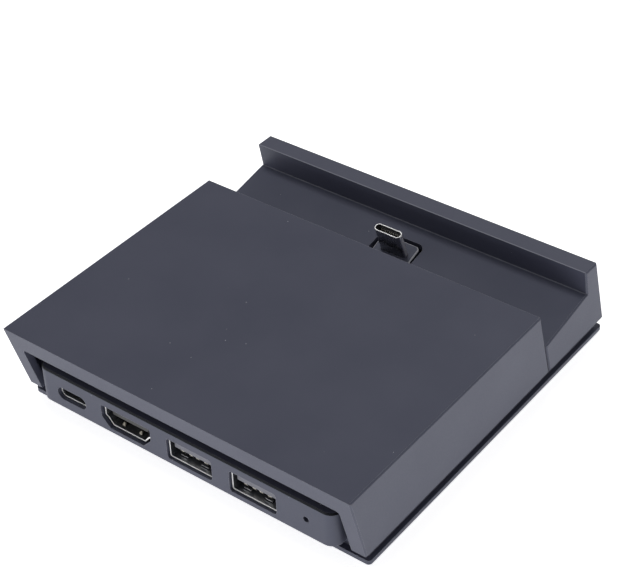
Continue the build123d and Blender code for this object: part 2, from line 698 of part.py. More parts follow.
with BuildPart() as video_socket_contacts:
    with BuildSketch(facing_front(video_x, video_block_front, video_z + VIDEO_TONGUE_RISE)):
        for side in (-1, 1):
            with Locations(
                *[
                    (place, side * (VIDEO_TONGUE_T + CONTACT_T) / 2)
                    for place in row(VIDEO_CONTACTS, VIDEO_CONTACT_PITCH)
                ]
            ):
                Rectangle(VIDEO_CONTACT_W, CONTACT_T)
    extrude(amount=video_block_front - video_front - TONGUE_BACK - CONTACT_BACK)
video_socket_contacts.part.label = "video_socket_contacts"
export_step(video_socket_contacts.part, "parts/video_socket_contacts.step")

# Power socket
power_block_front = power_front + POWER_DEPTH - POWER_BLOCK_DEPTH
with BuildPart() as power_socket_shell:
    with BuildSketch(facing_front(power_x, power_front, PORT_Z)):
        SlotOverall(POWER_W, POWER_H)
        SlotOverall(POWER_W - 2 * SOCKET_SHEET, POWER_H - 2 * SOCKET_SHEET, mode=Mode.SUBTRACT)
    extrude(amount=-POWER_DEPTH)
power_socket_shell.part.label = "power_socket_shell"
export_step(power_socket_shell.part, "parts/power_socket_shell.step")

with BuildPart() as power_socket_insulator:
    with BuildSketch(facing_front(power_x, power_block_front, PORT_Z)):
        SlotOverall(
            POWER_W - 2 * SOCKET_SHEET - 2 * SOCKET_FIT,
            POWER_H - 2 * SOCKET_SHEET - 2 * SOCKET_FIT,
        )
    extrude(amount=-POWER_BLOCK_DEPTH - POWER_TAIL)
    with BuildSketch(facing_front(power_x, power_block_front, PORT_Z)):
        Rectangle(POWER_TONGUE_W, POWER_TONGUE_T)
    extrude(amount=power_block_front - power_front - TONGUE_BACK)
    riser_h = PORT_Z - board_top
    with BuildSketch(facing_front(power_x, power_front + POWER_DEPTH, PORT_Z - riser_h / 2)):
        Rectangle(POWER_TONGUE_W, riser_h)
    extrude(amount=-POWER_TAIL)
power_socket_insulator.part.label = "power_socket_insulator"
export_step(power_socket_insulator.part, "parts/power_socket_insulator.step")

with BuildPart() as power_socket_contacts:
    with BuildSketch(facing_front(power_x, power_block_front, PORT_Z)):
        for side in (-1, 1):
            with Locations(
                *[
                    (place, side * (POWER_TONGUE_T + CONTACT_T) / 2)
                    for place in row(POWER_CONTACTS, POWER_CONTACT_PITCH)
                ]
            ):
                Rectangle(POWER_CONTACT_W, CONTACT_T)
    extrude(amount=power_block_front - power_front - TONGUE_BACK - CONTACT_BACK)
power_socket_contacts.part.label = "power_socket_contacts"
export_step(power_socket_contacts.part, "parts/power_socket_contacts.step")

# Status light and its lens
with BuildPart() as status_lens:
    with BuildSketch(facing_front(light_x, panel_y + LENS_BACK, light_z)):
        Circle(LENS_R)
    extrude(amount=-(lens_bend_y + LENS_R - panel_y - LENS_BACK))
    with BuildSketch(facing_up(light_x, lens_bend_y, board_top + LIGHT_T)):
        Rectangle(2 * LENS_R, 2 * LENS_R)
    extrude(amount=light_z - board_top - LIGHT_T)
status_lens.part.label = "status_lens"
export_step(status_lens.part, "parts/status_lens.step")

with BuildPart() as status_light:
    with BuildSketch(facing_up(light_x, lens_bend_y, board_top)):
        Rectangle(LIGHT_W, LIGHT_W)
    extrude(amount=LIGHT_T)
status_light.part.label = "status_light"
export_step(status_light.part, "parts/status_light.step")

# Board parts
with BuildPart() as video_chip:
    with BuildSketch(facing_up(video_x, board_front + VIDEO_CHIP_BACK, board_top)):
        Rectangle(VIDEO_CHIP_W, VIDEO_CHIP_W)
    extrude(amount=CHIP_T)
video_chip.part.label = "video_chip"
export_step(video_chip.part, "parts/video_chip.step")

with BuildPart() as hub_chip:
    with BuildSketch(facing_up((data_1_x + data_2_x) / 2, board_front + HUB_CHIP_BACK, board_top)):
        Rectangle(HUB_CHIP_W, HUB_CHIP_W)
    extrude(amount=CHIP_T)
hub_chip.part.label = "hub_chip"
export_step(hub_chip.part, "parts/hub_chip.step")

with BuildPart() as power_chip:
    with BuildSketch(facing_up(power_x, board_front + POWER_CHIP_BACK, board_top)):
        Rectangle(POWER_CHIP_W, POWER_CHIP_W)
    extrude(amount=CHIP_T)
power_chip.part.label = "power_chip"
export_step(power_chip.part, "parts/power_chip.step")

with BuildPart() as power_inductor:
    with BuildSketch(facing_up(power_x, board_front + INDUCTOR_BACK, board_top)):
        Rectangle(INDUCTOR_W, INDUCTOR_W)
    extrude(amount=INDUCTOR_T)
power_inductor.part.label = "power_inductor"
export_step(power_inductor.part, "parts/power_inductor.step")

with BuildPart() as capacitors:
    with BuildSketch(facing_up(data_2_x, board_front + CAPACITOR_BACK, board_top)):
        with Locations(*[(place, 0) for place in row(CAPACITORS, CAPACITOR_PITCH)]):
            Rectangle(CAPACITOR_W, CAPACITOR_L)
    extrude(amount=CAPACITOR_T)
capacitors.part.label = "capacitors"
export_step(capacitors.part, "parts/capacitors.step")

# Plug carrier
with BuildPart() as plug_carrier:
    with BuildSketch(across_plug(0, 0, -CARRIER_SINK)):
        RectangleRounded(CARRIER_W, CARRIER_D, CARRIER_R)
    extrude(amount=-(PIVOT_DEPTH - CARRIER_BODY_H / 2 - CARRIER_SINK))
    chamfer(plug_carrier.faces().sort_by(plug_axis)[-1].edges(), CARRIER_EDGE_BEVEL)
    with BuildSketch(across_plug(0, 0, -carrier_foot)):
        Rectangle(CARRIER_W, CARRIER_BODY_D)
    extrude(amount=CARRIER_BODY_H)
    with BuildSketch(along_plug(-trunnion_end)):
        with Locations((0, -PIVOT_DEPTH)):
            Circle(TRUNNION_R)
    extrude(amount=2 * trunnion_end)
    with BuildSketch(across_plug(0, 0, 0)):
        SlotOverall(PLUG_W + 2 * PLUG_FIT, PLUG_H + 2 * PLUG_FIT)
    extrude(amount=-carrier_foot - WALL, mode=Mode.SUBTRACT)
plug_carrier.part.label = "plug_carrier"
export_step(plug_carrier.part, "parts/plug_carrier.step")

# Console plug
plug_tail = carrier_foot + PLUG_TAIL
plug_inner_w = PLUG_W - 2 * PLUG_SHEET
plug_inner_h = PLUG_H - 2 * PLUG_SHEET
with BuildPart() as plug_shell:
    with BuildSketch(across_plug(0, 0, -plug_tail)):
        SlotOverall(PLUG_W, PLUG_H)
        SlotOverall(plug_inner_w, plug_inner_h, mode=Mode.SUBTRACT)
    extrude(amount=plug_tail + PLUG_RISE)
    chamfer(plug_shell.faces().sort_by(plug_axis)[-1].edges(), PLUG_RIM_BEVEL)
plug_shell.part.label = "plug_shell"
export_step(plug_shell.part, "parts/plug_shell.step")

with BuildPart() as plug_insulator:
    with BuildSketch(across_plug(0, 0, -plug_tail)):
        SlotOverall(plug_inner_w - 2 * PLUG_FIT, plug_inner_h - 2 * PLUG_FIT)
    extrude(amount=plug_tail + PLUG_RISE - PLUG_CAVITY)
plug_insulator.part.label = "plug_insulator"
export_step(plug_insulator.part, "parts/plug_insulator.step")

with BuildPart() as plug_contacts:
    with BuildSketch(across_plug(0, 0, PLUG_RISE - PLUG_CAVITY)):
        for side in (-1, 1):
            with Locations(
                *[
                    (place, side * PLUG_CONTACT_OUT)
                    for place in row(PLUG_CONTACTS, PLUG_CONTACT_PITCH)
                ]
            ):
                Rectangle(PLUG_CONTACT_W, CONTACT_T)
    extrude(amount=PLUG_CONTACT_L)
plug_contacts.part.label = "plug_contacts"
export_step(plug_contacts.part, "parts/plug_contacts.step")

# Plug board and its ribbon socket
with BuildPart() as plug_board:
    with BuildSketch(across_plug(0, 0, -plug_tail)):
        Rectangle(PLUG_BOARD_W, PLUG_BOARD_T)
    extrude(amount=-PLUG_BOARD_H)
plug_board.part.label = "plug_board"
export_step(plug_board.part, "parts/plug_board.step")

plug_socket_middle = plug_tail + PLUG_BOARD_H / 2
plug_socket_y = -(PLUG_BOARD_T + PLUG_RIBBON_SOCKET_T) / 2
with BuildPart() as plug_ribbon_socket:
    with BuildSketch(across_plug(0, plug_socket_y, -plug_socket_middle - PLUG_RIBBON_SOCKET_H / 2)):
        Rectangle(RIBBON_SOCKET_W, PLUG_RIBBON_SOCKET_T)
    extrude(amount=PLUG_RIBBON_SOCKET_H)
plug_ribbon_socket.part.label = "plug_ribbon_socket"
export_step(plug_ribbon_socket.part, "parts/plug_ribbon_socket.step")

with BuildPart() as board_ribbon_socket:
    with BuildSketch(facing_up(0, board_rear - BOARD_RIBBON_SOCKET_L / 2, board_top)):
        Rectangle(RIBBON_SOCKET_W, BOARD_RIBBON_SOCKET_L)
    extrude(amount=BOARD_RIBBON_SOCKET_T)
board_ribbon_socket.part.label = "board_ribbon_socket"
export_step(board_ribbon_socket.part, "parts/board_ribbon_socket.step")

# Ribbon between the two boards
ribbon_start = plug_point(-PLUG_BOARD_T / 2 - PLUG_RIBBON_SOCKET_T, -plug_socket_middle)
ribbon_end = (board_rear, board_top + BOARD_RIBBON_SOCKET_T / 2)
ribbon_low = ribbon_start[1] - RIBBON_SAG
ribbon_turn = (ribbon_start[0] - RIBBON_SAG * plug_cos / plug_sin, ribbon_low)
ribbon_rise = (ribbon_end[0] + RIBBON_REACH, ribbon_end[1])
with BuildPart() as ribbon:
    with BuildSketch(facing_right(-RIBBON_W / 2)):
        with BuildLine() as ribbon_path:
            FilletPolyline(ribbon_start, ribbon_turn, ribbon_rise, ribbon_end, radius=RIBBON_BEND_R)
        trace(ribbon_path.wire(), line_width=RIBBON_T)
    extrude(amount=RIBBON_W)
ribbon.part.label = "ribbon"
export_step(ribbon.part, "parts/ribbon.step")

# Pivot bracket
cheek_in = CARRIER_W / 2 + CHEEK_GAP
cheek_foot = PIVOT_DEPTH + CHEEK_DROP
tie_depth = PIVOT_DEPTH - TIE_RISE
cheek_d = CHEEK_FRONT + CHEEK_REAR
cheek_middle = (CHEEK_REAR - CHEEK_FRONT) / 2
spring_y = -(CARRIER_BODY_D / 2 + SPRING_GAP + SPRING_T / 2)
with BuildPart() as pivot_bracket:
    with BuildSketch(across_plug(0, cheek_middle, -ear_depth)):
        for side in (-1, 1):
            with Locations((side * (cheek_in + CHEEK_T / 2), 0)):
                Rectangle(CHEEK_T, cheek_d)
    extrude(amount=-(cheek_foot - ear_depth))
    with BuildSketch(across_plug(0, cheek_middle, -ear_depth)):
        for side in (-1, 1):
            with Locations((side * (ear_in + EAR_L / 2), 0)):
                Rectangle(EAR_L, cheek_d)
    extrude(amount=-EAR_T)
    with BuildSketch(across_plug(0, CHEEK_REAR + TIE_T / 2, -tie_depth)):
        Rectangle(2 * ear_in, TIE_T)
    extrude(amount=-(cheek_foot - tie_depth))
    with BuildSketch(along_plug(-ear_in)):
        with Locations((0, -PIVOT_DEPTH)):
            Circle(TRUNNION_R + TRUNNION_GAP)
        with Locations((0, -(PIVOT_DEPTH + cheek_foot) / 2)):
            Rectangle(SNAP_W, cheek_foot - PIVOT_DEPTH)
    extrude(amount=2 * ear_in, mode=Mode.SUBTRACT)
    with BuildSketch(along_plug(-ear_in)):
        with Locations((spring_y, -PIVOT_DEPTH)):
            Rectangle(SPRING_T + 2 * SPRING_SLOT_GAP, SPRING_H + 2 * SPRING_SLOT_GAP)
    extrude(amount=2 * ear_in, mode=Mode.SUBTRACT)
    with BuildSketch(across_plug(0, 0, -ear_depth)):
        with Locations((-stake_x, 0), (stake_x, 0)):
            Rectangle(STAKE_W + 2 * STAKE_GAP, STAKE_W + 2 * STAKE_GAP)
    extrude(amount=-EAR_T, mode=Mode.SUBTRACT)
pivot_bracket.part.label = "pivot_bracket"
export_step(pivot_bracket.part, "parts/pivot_bracket.step")

# Leaf that brings the carrier back to its rest
with BuildPart() as centring_spring:
    with BuildSketch(along_plug(SPRING_END_GAP - ear_in)):
        with Locations((spring_y, -PIVOT_DEPTH)):
            Rectangle(SPRING_T, SPRING_H)
    extrude(amount=2 * (ear_in - SPRING_END_GAP))
centring_spring.part.label = "centring_spring"
export_step(centring_spring.part, "parts/centring_spring.step")
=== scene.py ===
"""Looks of a handheld console dock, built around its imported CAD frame. Metres, in the frame of the CAD."""

import json
import math

import bmesh
import bpy
from mathutils import Matrix, Vector


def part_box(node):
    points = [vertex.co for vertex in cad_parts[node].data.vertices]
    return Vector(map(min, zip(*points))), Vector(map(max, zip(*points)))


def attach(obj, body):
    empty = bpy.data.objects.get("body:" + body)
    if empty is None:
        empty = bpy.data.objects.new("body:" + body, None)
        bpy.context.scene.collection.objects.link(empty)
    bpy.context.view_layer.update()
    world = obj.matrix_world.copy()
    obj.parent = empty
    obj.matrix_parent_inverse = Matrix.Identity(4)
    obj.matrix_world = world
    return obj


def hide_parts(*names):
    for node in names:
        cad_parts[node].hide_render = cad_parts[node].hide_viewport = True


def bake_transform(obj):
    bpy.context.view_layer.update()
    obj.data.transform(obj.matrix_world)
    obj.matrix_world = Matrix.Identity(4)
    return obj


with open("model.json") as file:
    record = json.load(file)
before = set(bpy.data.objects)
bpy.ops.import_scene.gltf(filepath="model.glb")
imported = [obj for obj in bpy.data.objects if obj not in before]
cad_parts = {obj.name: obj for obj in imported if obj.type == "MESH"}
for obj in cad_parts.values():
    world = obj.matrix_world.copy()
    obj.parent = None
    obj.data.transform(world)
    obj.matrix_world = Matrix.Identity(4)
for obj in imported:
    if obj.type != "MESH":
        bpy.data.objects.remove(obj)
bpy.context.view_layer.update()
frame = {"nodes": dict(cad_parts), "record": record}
nodes = frame["nodes"]
mounts = {mount["name"]: mount for mount in frame["record"]["mounts"]}
MM = 0.001

# Camera, fitted to the photograph, taken as 640 by 567 pixels
PHOTO_W = 640
CAMERA_AT = Vector((0.21181, -0.26109, 0.28481))
CAMERA_RIGHT = Vector((0.79612, 0.60421, -0.03363))
CAMERA_UP = Vector((-0.34681, 0.50109, 0.79286))
FOCAL_PX = 1731.18
SENSOR_W = 36.0

# Lamps far off: azimuth from the socket side towards +X, elevation and width in degrees, strength
LAMPS = {
    "overhead": (270, 75, 20, 0.9),
    "back": (180, 35, 40, 0.55),
    "left": (315, 35, 40, 0.45),
    "right": (90, 35, 40, 0.13),
    "front": (345, 4, 6, 0.2),
}

# Sky: dim overhead, with a bright band near the horizon that is strongest behind
SKY_LIGHT = 0.125
BAND_LIGHT = 0.4
BAND_FADE = (0.10, 0.20)  # sines of the elevation between which it fades
LOW_LIGHT = (180, 1.5)  # azimuth and strength

# Table: how white it is seen and reflected, and the soft light that it gives the object as a light table does
FLOOR_R = 6.0
FLOOR_COLOUR = (0.93, 0.93, 0.93, 1)
FLOOR_GLOW = 0.82
FLOOR_SEEN = 0.8

# Colours, linear
CASE = (0.066, 0.069, 0.104)
CASE_PALE = (0.078, 0.081, 0.118)
# Pale edges of the case, partly wear and partly painted highlight
CASE_EDGE_WEAR_AND_HIGHLIGHT = (0.40, 0.40, 0.44)
# Painted shade: the port housing's top edge, darkened where the cover shades it
HOUSING_PAINTED_SHADE = (0.003, 0.003, 0.005)
# Painted highlight: the line along the lip's foot and the lip's top
SLOT_PAINTED_HIGHLIGHT = (0.21, 0.216, 0.26)
# Painted highlight along the plug carrier's top edge
CARRIER_PAINTED_HIGHLIGHT = (0.60, 0.60, 0.64)
DUST = (0.70, 0.70, 0.72)
NICKEL = (0.98, 0.98, 0.98)
# Painted shade: the same nickel darker, for inside the sockets
NICKEL_PAINTED_SHADE = (0.29, 0.30, 0.33)
PLUG_METAL = (0.34, 0.34, 0.36)
# Painted highlight on the plug's rim and rounded ends
PLUG_RIM = (0.98, 0.98, 0.98)
SPRING = (0.34, 0.32, 0.27)
PLUG_PINS = (0.95, 0.92, 0.85)
STEEL = (0.55, 0.55, 0.56)
GOLD = (0.95, 0.90, 0.79)
TONGUE = (0.20, 0.202, 0.24)
BLACK = (0.050, 0.050, 0.052)
RUBBER = (0.028, 0.028, 0.030)
MASK = (0.010, 0.060, 0.030)
LENS = (0.004, 0.004, 0.006)
FERRITE = (0.045, 0.045, 0.048)
CAN = (0.70, 0.70, 0.71)
FILM = (0.70, 0.68, 0.62)

# All finishes: where noise mostly lies, and how finely softened edges are sampled
NOISE_SPAN = (0.3, 0.7)
BEVEL_SAMPLES = 6

# Case finish: noise in waves to the metre, lengths in millimetres, limits as cosines
CLOUD_SCALE = 45
GRAIN_SCALE = 5200
GRAIN_DEPTH = 0.02
GRAIN_STRENGTH = 0.35
CASE_ROUGH = (0.50, 0.62)
CASE_ROUND = 0.15
# Limits of the pale edges, partly wear and partly painted highlight
CASE_WEAR_AND_HIGHLIGHT_LIMITS = (0.75, 0.995)
CASE_GLOSS = 0.5
CASE_GLOSS_TINT = (0.86, 0.92, 1.0, 1)
SPECK_SCALE = 400
SPECK_R = 0.13
SPECK_SHARE = 0.15
SPECK_CORE = 0.6
SPECK_CUT = 0.01

# Metal finish
DRAWN_SCALE = 2500
DRAWN_DARK = 0.86
DRAWN_ROUGH = 0.10
DRAWN_DEPTH = 0.003
DRAWN_STRENGTH = 0.2
ALONG_Y = (1, 0.1, 1)
ALONG_Z = (1, 1, 0.1)
METAL_ROUND = 0.06
# Limits of bright metal edges, partly wear and partly painted highlight
METAL_WEAR_AND_HIGHLIGHT_LIMITS = (0.75, 0.98)
SHELL_ROUGH = 0.40
SHELL_RIM_ROUGH = 0.3
SHELL_ROUND = 0.14
PLUG_ROUGH = 0.2
PLUG_RIM_ROUGH = 0.55

# Finish of other plastics
PATCH_SCALE = 300
PATCH_DARK = 0.88
PLASTIC_GRAIN = 3000
PLASTIC_DEPTH = 0.008
PLASTIC_STRENGTH = 0.3
PLASTIC_ROUGH_SPAN = 0.05

# Painted shade on the top edge of the port housing, where the cover's rim shades it: depths in millimetres, then
# cosines to the vertical
HOUSING_EDGE = (1.2, 1.5)
HOUSING_TURN = (0.08, 0.3)
HOUSING_FLAT = (0.995, 0.97)

# Painted highlight along the top edge of the plug carrier, as cosines to the plug
CARRIER_TURN = (0.25, 0.45)
CARRIER_FLAT = (0.985, 0.93)

# Painted highlight in a thin pale line along the foot of the lip, in millimetres from the slot's middle and from
# the lip
LIP_FOOT = 10.1
HIGHLIGHT_LINE = (0.25, 0.4)
HIGHLIGHT_LINE_FACING = (0.8, 0.95)

# Painted highlight on the lip's top: how far down in millimetres, and how much
LIP_HIGHLIGHT = (0.1, 0.3)
LIP_HIGHLIGHT_FACING = (0.9, 0.98)
LIP_HIGHLIGHT_SHARE = 0.14

# Meshes
WELD = 1e-7
SHARP_ANGLE = 38
ROUND_STEPS = 6
STRIP_STEPS = 8

# Screws and feet, in millimetres
HEAD_STEPS = 4
HEAD_SIDES = 32
HEAD_R = 1.7
HEAD_T = 1.2
HEAD_ROUND = 0.35
CROSS_L = 0.98
CROSS_W = 0.26
CROSS_DEPTH = 0.6
CROSS_TAPER = 0.6
SHANK_R = 0.9
SHANK_L = 9.0
THREAD_DEPTH = 0.18
THREAD_PITCH = 0.75
FOOT_SIDES = 64
FOOT_R = 5.0
FOOT_H = 1.3
FOOT_ROUND = 0.45
FOOT_RIM = 1.1
FOOT_DISH = 0.1

# Console plug, in millimetres along the plug from the slot's floor
PLUG_W = 8.25
PLUG_H = 2.4
PLUG_SHEET = 0.35
PLUG_RISE = 8.1
PLUG_FOOT = -7.7
PLUG_ROUND = 0.2
LINER_FIT = 0.03
LINER_BACK = 0.9
LINER_T = 0.17
PLUG_CAVITY = 5.8
PLUG_END_HIGHLIGHT = (3.8, 4.08)  # from the middle, where the ends carry a painted highlight
# The bright mouth is a painted highlight
SHELL_RIM = (0.05, 0.2)  # depths at which a shell's bright mouth starts to fade and ends

# Spring fingers in the floor of the video socket, in millimetres
VIDEO_FRONT_BACK = 0.9
VIDEO_FLOOR_Z = 7.175
FINGER_X = 2.7
FINGER_W = 1.0
FINGER_T = 0.15
FINGER_CROWN = 0.45
FINGER_LINE = (  # depth from the shell's mouth, and rise
    (0.95, 0.10), (1.15, 0.50), (1.45, 0.76), (1.8, 0.85), (2.3, 0.74), (3.05, 0.45), (4.65, 0.02),
)

# Contacts of the data sockets, in millimetres from their tips and below the tongue
SPRING_LINE = (
    (-0.15, 0.4), (0.0, 0.88), (0.15, 1.12), (0.4, 1.2), (0.7, 1.05), (1.3, 0.55), (2.1, 0.12), (3.0, 0.0),
)

# Ribs in the floor of each data socket, in millimetres
RIB_X = 3.1
RIB_L = 2.45
RIB_W = 0.16
RIB_H = 0.07
RIB_END = 0.15
RIB_TAPER = 0.4
RIB_STEPS = 8
RIB_BACK = 1.65  # from the panel's face
RIB_FLOOR_Z = 7.175

# Pieces cut into bands between where each is held and where it turns with the plug, in millimetres
LEAF_HELD = 7.6
LEAF_TURNS = 5.9
LEAF_CUTS = 6
RIBBON_HELD = 18.5
RIBBON_TURNS = 36.0
RIBBON_CUTS = 16


class Shader:
    """A principled material whose nodes are added by name."""

    def __init__(self, name):
        self.material = bpy.data.materials.new(name)
        self.material.use_nodes = True
        self.tree = self.material.node_tree
        self.main = self.tree.nodes["Principled BSDF"]
        self.place = self.add("ShaderNodeTexCoord").outputs["Object"]

    def add(self, kind, **settings):
        node = self.tree.nodes.new(kind)
        for key, value in settings.items():
            setattr(node, key, value)
        return node

    def link(self, source, target):
        self.tree.links.new(source, target)

    def set(self, **values):
        """Sets sockets of the main shader, named with underscores for spaces."""
        for key, value in values.items():
            self.main.inputs[key.replace("_", " ")].default_value = value

    def noise(self, scale, detail=2.0, stretch=None):
        """A noise factor at so many waves to the metre, stretched along the axes if asked."""
        node = self.add("ShaderNodeTexNoise")
        node.inputs["Scale"].default_value = scale
        node.inputs["Detail"].default_value = detail
        source = self.place
        if stretch:
            mapping = self.add("ShaderNodeMapping")
            mapping.inputs["Scale"].default_value = stretch
            self.link(source, mapping.inputs["Vector"])
            source = mapping.outputs["Vector"]
        self.link(source, node.inputs["Vector"])
        return node.outputs["Fac"]

    def map(self, factor, from_low, from_high, to_low=0.0, to_high=1.0):
        """Maps a factor from one range of numbers onto another."""
        node = self.add("ShaderNodeMapRange")
        node.inputs["From Min"].default_value = from_low
        node.inputs["From Max"].default_value = from_high
        node.inputs["To Min"].default_value = to_low
        node.inputs["To Max"].default_value = to_high
        self.link(factor, node.inputs["Value"])
        return node.outputs["Result"]

    def between(self, factor, low, high):
        """Maps a noise factor onto a range of numbers."""
        return self.map(factor, *NOISE_SPAN, low, high)

    def math(self, operation, first, second):
        """Joins two sockets by a sum or product."""
        node = self.add("ShaderNodeMath", operation=operation)
        self.link(first, node.inputs[0])
        self.link(second, node.inputs[1])
        return node.outputs["Value"]

    def mix(self, factor, low, high):
        """Mixes two colours, each a tuple or a socket, by a factor from 0 to 1."""
        node = self.add("ShaderNodeMix", data_type="RGBA")
        self.link(factor, node.inputs["Factor"])
        for value, socket in ((low, node.inputs[6]), (high, node.inputs[7])):
            if isinstance(value, tuple):
                socket.default_value = (*value, 1)
            else:
                self.link(value, socket)
        return node.outputs[2]

    def bump(self, height, depth, strength, normal=None):
        node = self.add("ShaderNodeBump")
        node.inputs["Distance"].default_value = depth
        node.inputs["Strength"].default_value = strength
        self.link(height, node.inputs["Height"])
        if normal:
            self.link(normal, node.inputs["Normal"])
        return node.outputs["Normal"]

    def rounded(self, radius):
        """The normal of edges softened by so much."""
        node = self.add("ShaderNodeBevel", samples=BEVEL_SAMPLES)
        node.inputs["Radius"].default_value = radius
        return node.outputs["Normal"]

    def depth(self, axis, near, far):
        """A factor from 1 to 0 between two distances along an axis, in metres."""
        dot = self.add("ShaderNodeVectorMath", operation="DOT_PRODUCT")
        dot.inputs[1].default_value = axis
        self.link(self.place, dot.inputs[0])
        return self.map(dot.outputs["Value"], near, far, 1.0, 0.0)

    def edges(self, normal, low, high):
        """A factor of 1 where a softened normal turns away from the face, as it does at an edge."""
        dot = self.add("ShaderNodeVectorMath", operation="DOT_PRODUCT")
        self.link(normal, dot.inputs[0])
        self.link(self.add("ShaderNodeNewGeometry").outputs["True Normal"], dot.inputs[1])
        return self.map(dot.outputs["Value"], high, low, 0.0, 1.0)

    def facing(self, axis, low, high):
        """A factor from 0 to 1 as faces turn towards an axis, between two cosines."""
        dot = self.add("ShaderNodeVectorMath", operation="DOT_PRODUCT")
        dot.inputs[1].default_value = axis
        self.link(self.add("ShaderNodeNewGeometry").outputs["Normal"], dot.inputs[0])
        return self.map(dot.outputs["Value"], low, high)

    def specks(self, scale, radius, share):
        """A factor of 1 on round specks, in that share of the cells of a loose grid."""
        node = self.add("ShaderNodeTexVoronoi")
        node.inputs["Scale"].default_value = scale
        self.link(self.place, node.inputs["Vector"])
        near = self.map(node.outputs["Distance"], radius * scale * SPECK_CORE, radius * scale, 1.0, 0.0)
        split = self.add("ShaderNodeSeparateColor")
        self.link(node.outputs["Color"], split.inputs["Color"])
        chosen = self.map(split.outputs["Red"], share - SPECK_CUT, share, 1.0, 0.0)
        return self.math("MULTIPLY", near, chosen)


def case_material(name="case_plastic", tint=None, tint_by=None):
    """Dark slate moulding with a fine spark-eroded grain, specks of dust and pale edges that are partly wear and
    partly painted highlight, with painted light of another colour mixed in by a factor if asked.
    """
    s = Shader(name)
    cloud = s.between(s.noise(CLOUD_SCALE, 3), 0.0, 1.0)
    plain = s.mix(cloud, CASE, CASE_PALE)
    soft = s.rounded(CASE_ROUND * MM)
    # Pale edges, partly wear and partly painted highlight; then painted shade or highlight mixed in by its mask
    wear_and_painted_light = s.mix(s.edges(soft, *CASE_WEAR_AND_HIGHLIGHT_LIMITS), plain, CASE_EDGE_WEAR_AND_HIGHLIGHT)
    if tint:
        wear_and_painted_light = s.mix(tint_by(s), wear_and_painted_light, tint)
    dust = s.specks(SPECK_SCALE, SPECK_R * MM, SPECK_SHARE)
    s.link(s.mix(dust, wear_and_painted_light, DUST), s.main.inputs["Base Color"])
    grain = s.noise(GRAIN_SCALE, 2)
    s.link(s.between(grain, *CASE_ROUGH), s.main.inputs["Roughness"])
    s.link(s.bump(grain, GRAIN_DEPTH * MM, GRAIN_STRENGTH, soft), s.main.inputs["Normal"])
    s.set(Specular_IOR_Level=CASE_GLOSS, Specular_Tint=CASE_GLOSS_TINT)
    return s.material


def metal_material(name, colour, roughness, brushed, rims=(), rim_colour=None, rim_rough=0.0, edge=METAL_ROUND):
    """Plated sheet metal, faintly drawn along one axis. With rims, its edges are painted bright, partly as wear
    and partly as highlight, and each rim, an axis and where it fades along it, is a painted highlight.
    """
    s = Shader(name)
    drawn = s.noise(DRAWN_SCALE, 2, brushed)
    dark = tuple(v * DRAWN_DARK for v in colour)
    plate = s.mix(s.between(drawn, 0.0, 1.0), dark, colour)
    rough = s.between(drawn, roughness, roughness + DRAWN_ROUGH)
    soft = s.rounded(edge * MM)
    # Painted highlight on the rims, and on edges that are partly wear
    if rims:
        bright = s.edges(soft, *METAL_WEAR_AND_HIGHLIGHT_LIMITS)
        for limits in rims:
            bright = s.math("MAXIMUM", bright, s.depth(*limits))
        plate = s.mix(bright, plate, rim_colour)
        rough = s.math("MAXIMUM", rough, s.map(bright, 0.0, 1.0, 0.0, rim_rough))
    s.link(plate, s.main.inputs["Base Color"])
    s.link(rough, s.main.inputs["Roughness"])
    s.link(s.bump(drawn, DRAWN_DEPTH * MM, DRAWN_STRENGTH, soft), s.main.inputs["Normal"])
    s.set(Metallic=1.0)
    return s.material


def plastic_material(name, colour, roughness, grain_scale=PLASTIC_GRAIN):
    """Plain moulded plastic with a little grain."""
    s = Shader(name)
    grain = s.noise(grain_scale, 2)
    dark = tuple(v * PATCH_DARK for v in colour)
    patches = s.between(s.noise(PATCH_SCALE, 2), 0.0, 1.0)
    s.link(s.mix(patches, dark, colour), s.main.inputs["Base Color"])
    rough = s.between(grain, roughness - PLASTIC_ROUGH_SPAN, roughness + PLASTIC_ROUGH_SPAN)
    s.link(rough, s.main.inputs["Roughness"])
    s.link(s.bump(grain, PLASTIC_DEPTH * MM, PLASTIC_STRENGTH), s.main.inputs["Normal"])
    return s.material


def dress(material, *names):
    for name in names:
        nodes[name].data.materials.clear()
        nodes[name].data.materials.append(material)


def quarter(steps):
    """Angles of a quarter turn in so many steps."""
    return [math.pi / 2 * i / steps for i in range(steps + 1)]


def loop(shape, points):
    """Adds points as a closed loop of vertices."""
    return [shape.verts.new(point) for point in points]


def skin(shape, first, second):
    """Joins two loops of as many vertices by a band of faces."""
    for i in range(len(first)):
        j = (i + 1) % len(first)
        shape.faces.new((first[i], first[j], second[j], second[i]))


def skin_all(shape, loops):
    for first, second in zip(loops, loops[1:]):
        skin(shape, first, second)


def circle(x, y, z, radius, count):
    turns = [math.tau * i / count for i in range(count)]
    return [(x + radius * math.cos(t), y + radius * math.sin(t), z) for t in turns]


def stadium(width, height, z, count=16):
    """Points of a slot-shaped outline at z, each of its ends in so many steps."""
    radius = height / 2
    straight = width / 2 - radius
    points = []
    for side in (1, -1):
        for i in range(count + 1):
            turn = math.pi * i / count - math.pi / 2
            x, y = straight + radius * math.cos(turn), radius * math.sin(turn)
            points.append(Vector((side * x, side * y, z)))
    return points


def copy_node(node):
    """A copy of a node's mesh, with its corners joined."""
    shape = bmesh.new()
    shape.from_mesh(nodes[node].data)
    bmesh.ops.remove_doubles(shape, verts=shape.verts[:], dist=WELD)
    return shape


